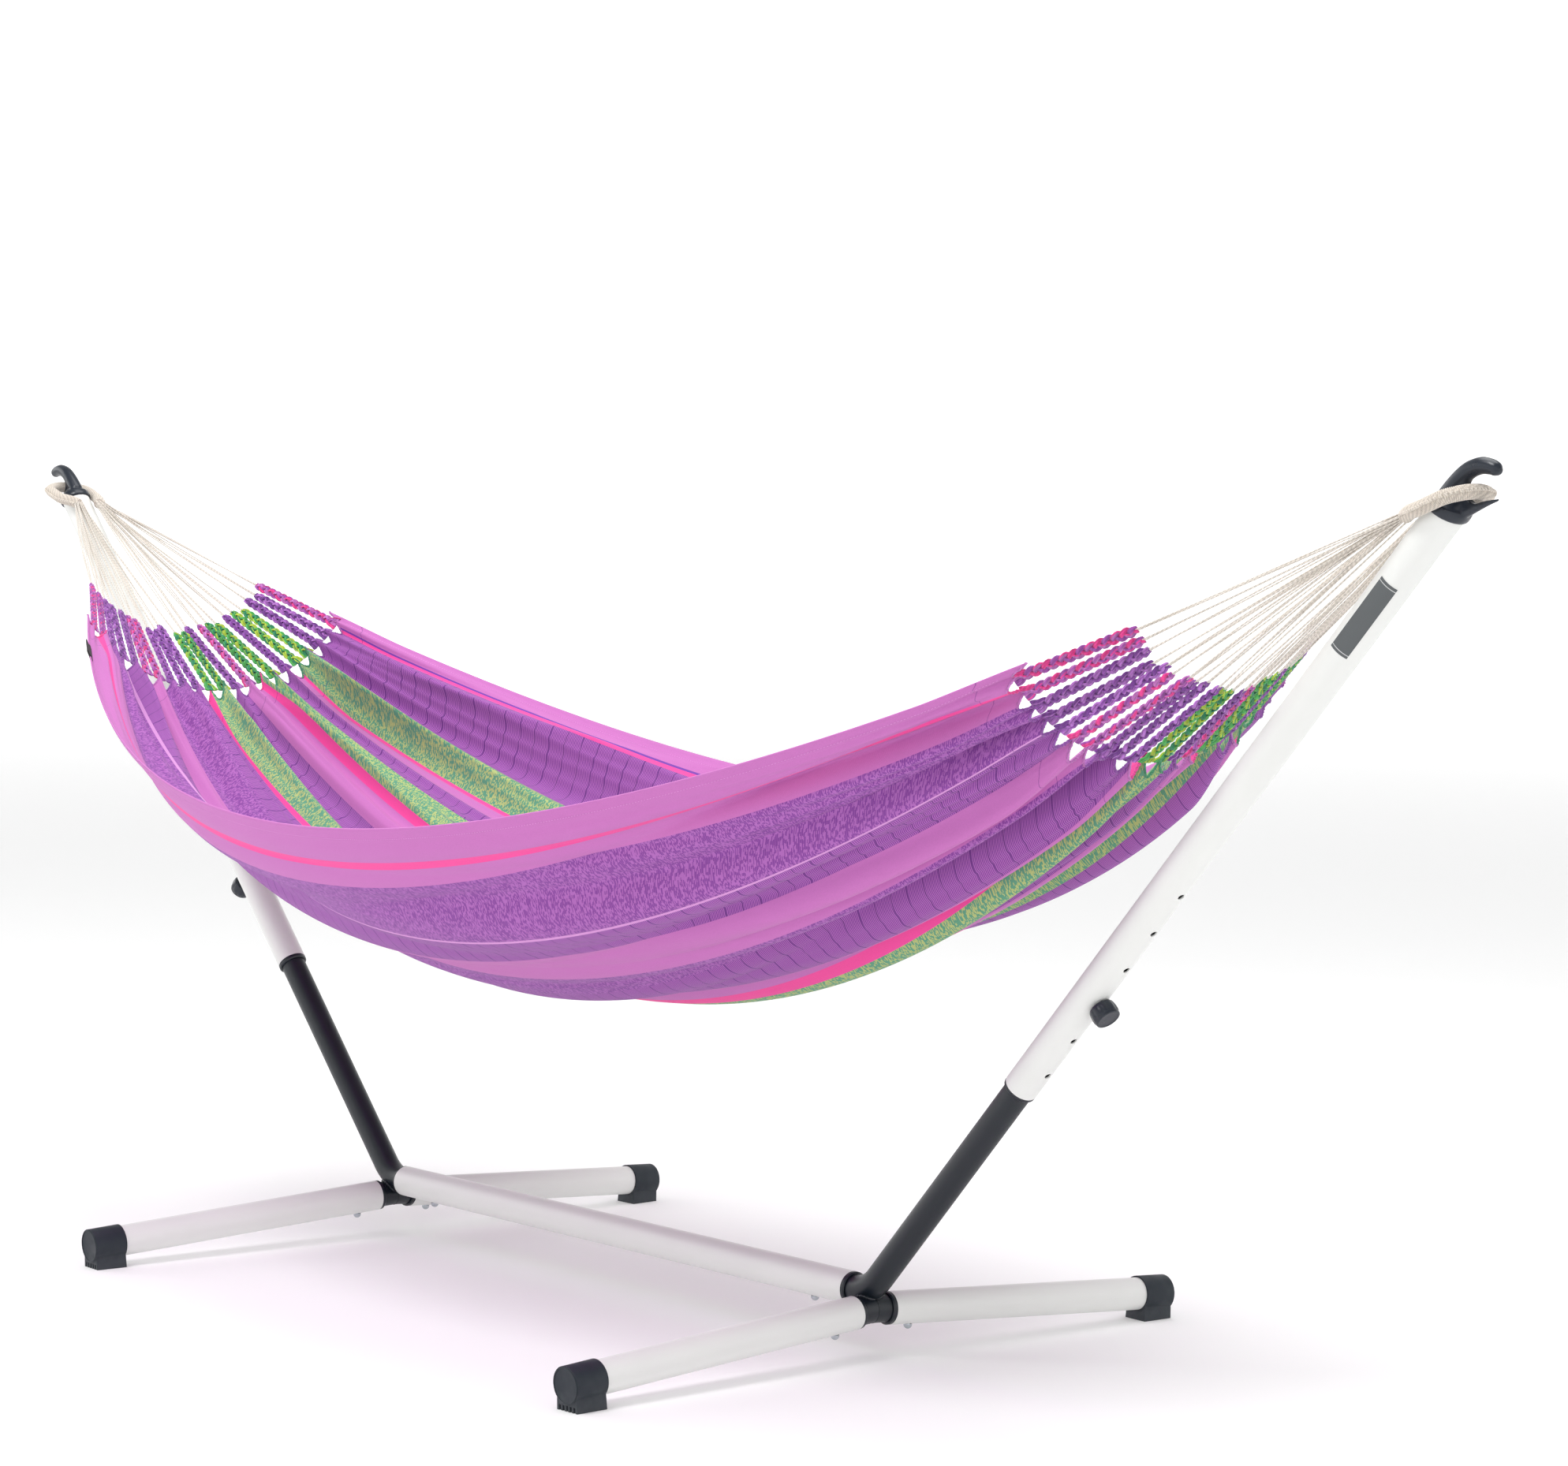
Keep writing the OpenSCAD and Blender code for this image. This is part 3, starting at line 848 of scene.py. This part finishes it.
fold_draws = np.random.default_rng(23)
long_folds = {side: [(waves, 0.066 / waves ** 0.62 * fold_draws.uniform(0.6, 1.0), reach,
                      fold_draws.uniform(0, 1), fold_draws.uniform(-0.5, 0.5))
                     for waves, reach in ((3.7, 1.2), (6.4, 1.0), (9.3, 0.85), (12.8, 0.7), (17.6, 0.5))]
              for side in (-1, 1)}
gather_depths = fold_draws.uniform(0.6, 1.3, (2, braid_count + 1))


def ease_in(values, low, high):
    t = np.clip((np.asarray(values) - low) / (high - low), 0, 1)
    return t * t * (3 - 2 * t)


def cloth_points(along, across, lift=0.0):
    """Points of the cloth. along runs from -1 to 1 between its ends, across from 0 to 1 from the
    front hem to the rear one, and lift is a distance out of its surface."""
    along, across = np.broadcast_arrays(np.asarray(along, float), np.asarray(across, float))
    cell = across * braid_count - 0.5
    pinch = 1 - np.abs(np.sin(math.pi * cell)) ** 0.8
    taper = ease_in(across, 0, 0.05) * ease_in(1 - across, 0, 0.05)
    near_end = ease_in(np.abs(along), 0.93, 1.0)
    recess = 0.013 * (1 - pinch) * near_end
    corner = 0.020 * (1 - ease_in(np.minimum(across, 1 - across), 0, 0.018)) * near_end
    x = along * cloth_end - np.sign(along) * (recess * taper - corner)
    drop = end_drop + sag_rate * (cloth_end ** 2 - np.minimum(np.abs(x), cloth_end + 0.02) ** 2)
    push = np.zeros_like(x)
    for side in (-1, 1):
        inward = np.clip(cloth_end - side * x, 0, None)
        for waves, depth, reach, phase, drift in long_folds[side]:
            turns = waves * across + phase + drift * inward
            swell = 2 * np.abs(np.sin(math.pi * turns)) ** 0.85 - 1.34
            push += depth * swell * np.exp(-(inward / reach) ** 1.6) * ease_in(inward, -0.05, 0.12)
        depths = gather_depths[(side + 1) // 2][np.clip(np.floor(cell).astype(int) + 1, 0, braid_count)]
        push += 0.0190 * depths * (0.55 - pinch) * np.exp(-(inward / 0.26) ** 1.2)
    push = push * (0.12 + 0.88 * taper)
    angle = half_wrap * (2 * across - 1) * (1 + 0.012 * ease_in(np.abs(along), 0.9, 1.0))
    radius = drop + push + lift
    return np.stack([x, radius * np.sin(angle), pivot[2] - radius * np.cos(angle)], -1)


cloth_width = 1.5
hem_width = 0.0155
hem_seam = 0.0145
rows_along = 250
rows_across = 264
even_rows = np.linspace(-1, 1, rows_along)
cloth_t = np.sin(even_rows * math.pi / 2) * 0.45 + even_rows * 0.55
cloth_q = np.linspace(0, 1, rows_across)
grid_t, grid_q = np.meshgrid(cloth_t, cloth_q, indexing="ij")
in_hem = np.minimum(cloth_q, 1 - cloth_q) < hem_width
half_thick = np.where(in_hem, 0.0013, 0.0007)[None, :] * np.ones((rows_along, 1))
skins = [cloth_points(grid_t, grid_q, half_thick), cloth_points(grid_t, grid_q, -half_thick)]
cloth_verts = np.concatenate([s.reshape(-1, 3) for s in skins])
count = rows_along * rows_across


def vert(i, j, skin=0):
    return skin * count + i * rows_across + j


cloth_faces = []
for i in range(rows_along - 1):
    for j in range(rows_across - 1):
        cloth_faces.append((vert(i, j), vert(i + 1, j), vert(i + 1, j + 1), vert(i, j + 1)))
        cloth_faces.append((vert(i, j, 1), vert(i, j + 1, 1), vert(i + 1, j + 1, 1), vert(i + 1, j, 1)))
for i in range(rows_along - 1):
    cloth_faces.append((vert(i, 0), vert(i, 0, 1), vert(i + 1, 0, 1), vert(i + 1, 0)))
    last = rows_across - 1
    cloth_faces.append((vert(i, last), vert(i + 1, last), vert(i + 1, last, 1), vert(i, last, 1)))
for j in range(rows_across - 1):
    cloth_faces.append((vert(0, j), vert(0, j + 1), vert(0, j + 1, 1), vert(0, j, 1)))
    end = rows_along - 1
    cloth_faces.append((vert(end, j), vert(end, j, 1), vert(end, j + 1, 1), vert(end, j + 1)))

flat_run = np.concatenate([[0], np.cumsum(np.hypot(
    np.diff(cloth_t * cloth_end), np.diff(sag_rate * (cloth_t * cloth_end) ** 2)))])
flat_length = float(flat_run[-1])

weave = Paint("woven_cotton", Sheen_Weight=0.1, Sheen_Roughness=0.45)
weave_uv = weave.add("ShaderNodeUVMap", output="UV", uv_map="weave")
weave_along = weave.add("ShaderNodeSeparateXYZ", {0: weave_uv}, output="X")
weave_across = weave_along.other("Y")
band_base = weave.add("ShaderNodeValToRGB", {0: weave_across}, output="Color", stops=[
    (start, band_colours[kind]) for start, (kind, width) in zip(band_starts, bands)])
band_kind = weave.add("ShaderNodeValToRGB", {0: weave_across}, output="Color", stops=[
    (start, (float(kind == "heather"), float(kind == "ladder"), float(kind == "green")))
    for start, (kind, width) in zip(band_starts, bands)])
is_heather = weave.add("ShaderNodeSeparateColor", {0: band_kind}, output="Red")
is_ladder = is_heather.other("Green")
is_green = is_heather.other("Blue")
weft_pitch = 0.0032
pick_pitch = 0.0017
fleck_length = 0.0042
bar_pitch = 0.034
thread_pitch = 0.0019
pick = (weave_along / pick_pitch).floor()
shift = weave.add("ShaderNodeTexWhiteNoise", {"W": pick}, output="Value", noise_dimensions="1D")
dash = (weave_across * cloth_width / fleck_length + shift * 3.0).floor()
fleck_cell = weave.add("ShaderNodeCombineXYZ", {0: pick, 1: dash, 2: 0.0})
fleck = weave.add("ShaderNodeTexWhiteNoise", {"Vector": fleck_cell}, output="Value", noise_dimensions="2D")
drift = weave.noise(weave_uv, 3.0)
fleck_on = (fleck + 0.25 * (drift - 0.5)).above(0.55)
weft_line = ((weave_along / weft_pitch) % 1.0).above(0.5)
end_gap = weave_along.maths("MINIMUM", weave_along, flat_length - weave_along)
bar_place = weave_along + 0.016 * weave.noise(weave_uv, 9.0)
bar = ((bar_place / bar_pitch) % 1.0).below(0.055)
colour = weave.mix(is_heather * fleck_on * 0.8, band_base, tint(182, 108, 190))
colour = weave.mix(is_ladder * weft_line * 0.85, colour, tint(188, 112, 192))
colour = weave.mix(is_ladder * bar * 0.85, colour, tint(96, 40, 122))
colour = weave.mix(is_green * fleck_on * 0.9, colour, tint(196, 204, 120))
colour = weave.mix(is_green * weft_line * 0.4, colour, tint(122, 158, 122))
colour = weave.mix(is_heather * weft_line * 0.35, colour, tint(176, 104, 186))
end_seam = end_gap.above(0.058) * end_gap.below(0.0594)
colour = weave.mix(end_seam * 0.6, colour, tint(96, 40, 122))
broad = weave.noise(weave_uv, 1.6, 3.0)
fine = weave.noise(weave.place(), 520.0)
wear = 0.35 * broad + 0.65 * fine
colour = weave.multiply(colour, weave.mix(wear, (0.84, 0.84, 0.84), (1.1, 1.1, 1.1)))
thread_turn = 2 * math.pi / thread_pitch
threads = (weave_along * thread_turn).sine() * (weave_across * (thread_turn * cloth_width)).sine()
relief = (threads * 0.25 + fleck_on * is_heather * 0.3 + weft_line * is_ladder * 0.4
          + fine * 0.4)
weave.set(Base_Color=colour, Roughness=0.78 + 0.15 * fine, Normal=weave.bump(relief, 0.00035))

cloth = new_piece("hammock_sheet", cloth_verts, cloth_faces, weave)
uv_table = np.zeros((2 * count, 2), np.float32)
uv_table[:, 0] = np.tile(np.repeat(flat_run, rows_across), 2)
uv_table[:, 1] = np.tile(np.tile(cloth_q, rows_along), 2)
uv_layer = cloth.data.uv_layers.new(name="weave")
corner_verts = np.zeros(len(cloth.data.loops), np.int32)
cloth.data.loops.foreach_get("vertex_index", corner_verts)
uv_layer.data.foreach_set("uv", uv_table[corner_verts].ravel())
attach(cloth, "hammock")
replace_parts(cloth, "hammock_cloth")

# The edge of each end is a twisted cord in the colours of the bands that it closes.

def band_at(across):
    found = int(np.searchsorted(band_starts, across, side="right")) - 1
    return bands[max(found, 0)][0]


edge_tones = {"orchid": tint(200, 122, 196), "violet": tint(120, 70, 168), "pink": tint(240, 80, 160),
              "heather": tint(150, 84, 172), "ladder": tint(150, 84, 172), "pale": tint(200, 130, 200),
              "green": tint(70, 150, 110), "grey": tint(130, 120, 140)}
edge_yarn = yarn("edge_yarn", None, 0.006)
for end, end_name in ((-1, "left"), (1, "right")):
    lines, tones = [], []
    for ply in (0, 1):
        for part in range(braid_count * 2):
            q = np.linspace(part, part + 1, 9) / (braid_count * 2)
            middle = cloth_points(end, q)
            turn = q * 1400 + ply * math.pi
            lines.append(middle + 0.0016 * np.stack([np.cos(turn), 0 * turn, np.sin(turn)], 1))
            tones.append(edge_tones[band_at(float(q[4]))])
    edge_cord = cords(end_name + "_edge_cord", lines, 0.0030, 6, edge_yarn, tones)
    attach(edge_cord, "hammock")

# Hem stitches: short pale pink threads in one row near each long edge, on both faces.

def stitch_tree():
    tree, keys = start_tree("stitch_maker", {"Seam": "Geometry", "Pitch": "Float",
                                             "Stitch": "Vector", "Thread": "Material"}, "Stitches")
    given, result, curve, spots, bead, row, real, coat = [
        tree.nodes.new(kind) for kind in (
            "NodeGroupInput", "NodeGroupOutput", "GeometryNodeMeshToCurve",
            "GeometryNodeCurveToPoints", "GeometryNodeMeshIcoSphere",
            "GeometryNodeInstanceOnPoints", "GeometryNodeRealizeInstances",
            "GeometryNodeSetMaterial")]
    spots.mode = "LENGTH"
    bead.inputs["Radius"].default_value = 1.0
    bead.inputs["Subdivisions"].default_value = 1
    link_up(tree, (
        (given, "Seam", curve, "Mesh"), (curve, "Curve", spots, "Curve"),
        (given, "Pitch", spots, "Length"), (spots, "Points", row, "Points"),
        (spots, "Rotation", row, "Rotation"), (bead, "Mesh", row, "Instance"),
        (given, "Stitch", row, "Scale"), (row, "Instances", real, "Geometry"),
        (real, "Geometry", coat, "Geometry"), (given, "Thread", coat, "Material"),
        (coat, "Geometry", result, "Stitches")))
    return tree, keys


stitch_maker, stitch_inputs = stitch_tree()
hem_thread = Paint("hem_thread", Base_Color=tint(222, 152, 214), Roughness=0.7)
hem_fluff = hem_thread.noise(hem_thread.place(), 900)
hem_thread.set(Base_Color=hem_thread.mix(hem_fluff, tint(196, 118, 190), tint(232, 168, 226)),
               Normal=hem_thread.bump(hem_fluff, 0.0002))
seam_points, seam_edges = [], []
for across in (hem_seam, 1 - hem_seam):
    for lift in (0.0014, -0.0014):
        start = len(seam_points)
        seam_points += list(cloth_points(np.linspace(-0.985, 0.985, 200), across, lift))
        seam_edges += [(start + k, start + k + 1) for k in range(199)]
seam_mesh = bpy.data.meshes.new("hem_stitches")
seam_mesh.from_pydata([tuple(p) for p in seam_points], seam_edges, [])
stitches = put_in("hem_stitches", seam_mesh)
sewing = stitches.modifiers.new("sewing", "NODES")
sewing.node_group = stitch_maker
sewing[stitch_inputs["Pitch"]] = 0.0052
sewing[stitch_inputs["Stitch"]] = (0.0005, 0.0005, 0.0018)
sewing[stitch_inputs["Thread"]] = hem_thread.material
settle(stitches)
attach(stitches, "hammock")


# ---- Braids ----
# The cloth's warp is plaited into flat three-strand braids, four yarns to a strand, in the
# colours of the band that each one leaves. The strings are knotted into their heads.

braid_tones = {
    "orchid": [(200, 118, 196), (170, 84, 178), (236, 64, 150)],
    "violet": [(130, 62, 160), (150, 80, 176), (118, 52, 146)],
    "pink": [(236, 52, 144), (204, 116, 196), (240, 90, 160)],
    "heather": [(148, 80, 172), (176, 110, 194), (126, 62, 152)],
    "ladder": [(142, 76, 168), (178, 112, 198), (122, 60, 150)],
    "pale": [(182, 110, 194), (142, 74, 166), (160, 92, 182)],
    "green": [(38, 140, 96), (176, 204, 62), (72, 168, 80)],
    "grey": [(150, 196, 70), (128, 60, 150), (40, 140, 100)]}
braid_yarn = yarn("braid_yarn", None, 0.006)
yarn_thickness = 0.0028
plait_pitch = 0.038
plait_swing = 0.0052
plait_depth = 0.0020
root_spread = 0.0085
tone_draws = np.random.default_rng(31)
for side, side_name in ((-1, "left"), (1, "right")):
    lines, tones = [], []
    for i, angle in enumerate(braid_angles):
        head, lean = braid_heads[side][i]
        foot_end = string_reach + braid_reach + 0.004
        tangent = np.array([0, math.cos(angle), math.sin(angle)])
        steps = int((foot_end - head) / 0.0032)
        reach = np.linspace(head, foot_end, steps)
        middle = np.array([on_ray(r, angle + lean * (foot_end - r) / braid_reach) for r in reach])
        ahead = unit(middle[-1] - middle[0])
        normal = np.cross(ahead, tangent)
        palette = braid_tones[band_at((i + 0.5) / braid_count)]
        fanned = ease_in(reach, foot_end - 0.020, foot_end - 0.001)
        snug = 0.45 + 0.55 * ease_in(reach, head, head + 0.012)
        for strand in range(3):
            cycle = 2 * math.pi * ((foot_end - 0.012 - reach) / plait_pitch + strand / 3)
            root_place = (0, root_spread, -root_spread)[strand]
            sideways = plait_swing * np.sin(cycle) * snug * (1 - fanned) + root_place * fanned
            deep = plait_depth * np.sin(2 * cycle) * snug * (1 - fanned)
            yarn_gap = (0.0017 + 0.0006 * fanned) * (0.6 + 0.4 * snug)
            for ply in (-1.5, -0.5, 0.5, 1.5):
                yarn_deep = deep - ply * 0.0005 * np.cos(cycle) - 0.0005 * abs(ply)
                lines.append(middle + (sideways + ply * yarn_gap)[:, None] * tangent
                             + yarn_deep[:, None] * normal)
                base = palette[strand if tone_draws.uniform() > 0.25 else int(tone_draws.integers(3))]
                tones.append(dimmer(tint(*base), tone_draws.uniform(0.72, 1.22)))
    braids = cords(side_name + "_plaits", [to_side(line, side) for line in lines], yarn_thickness,
                   5, braid_yarn, tones)
    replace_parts(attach(braids, "hammock"), side_name + "_braids")


# ---- Edge tag ----
# A small dark woven tag folded over the front hem near its left end and closed round it.

tag_cloth = Paint("tag_cloth")
tag_here = tag_cloth.place()
tag_threads = tag_cloth.noise(tag_here, 900)
tag_cloth.set(Base_Color=tag_cloth.mix(tag_threads, (0.012, 0.010, 0.012), (0.05, 0.045, 0.05)),
              Roughness=0.8, Normal=tag_cloth.bump(tag_threads, 0.0003))
tag_at = -(cloth_end - 0.11) / cloth_end
tag_front = [(0.0125, 0.0022), (0.004, 0.0022), (-0.004, 0.00099), (-0.012, 0.00099),
             (-0.0155, 0.00099)]
tag_rows = tag_front + [(q, -lift) for q, lift in reversed(tag_front)]
tag_points = []
for q, lift in tag_rows:
    tag_points += list(cloth_points(tag_at + np.linspace(-0.018, 0.018, 9), q, lift))
tag_faces = [(r * 9 + k, r * 9 + k + 1, (r + 1) * 9 + k + 1, (r + 1) * 9 + k)
             for r in range(len(tag_rows) - 1) for k in range(8)]
tag = new_piece("hem_tag", tag_points, tag_faces, tag_cloth)
thick = tag.modifiers.new("thick", "SOLIDIFY")
thick.thickness = 0.0007
thick.offset = 0
settle(tag)
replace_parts(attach(tag, "hammock"), "edge_tag")
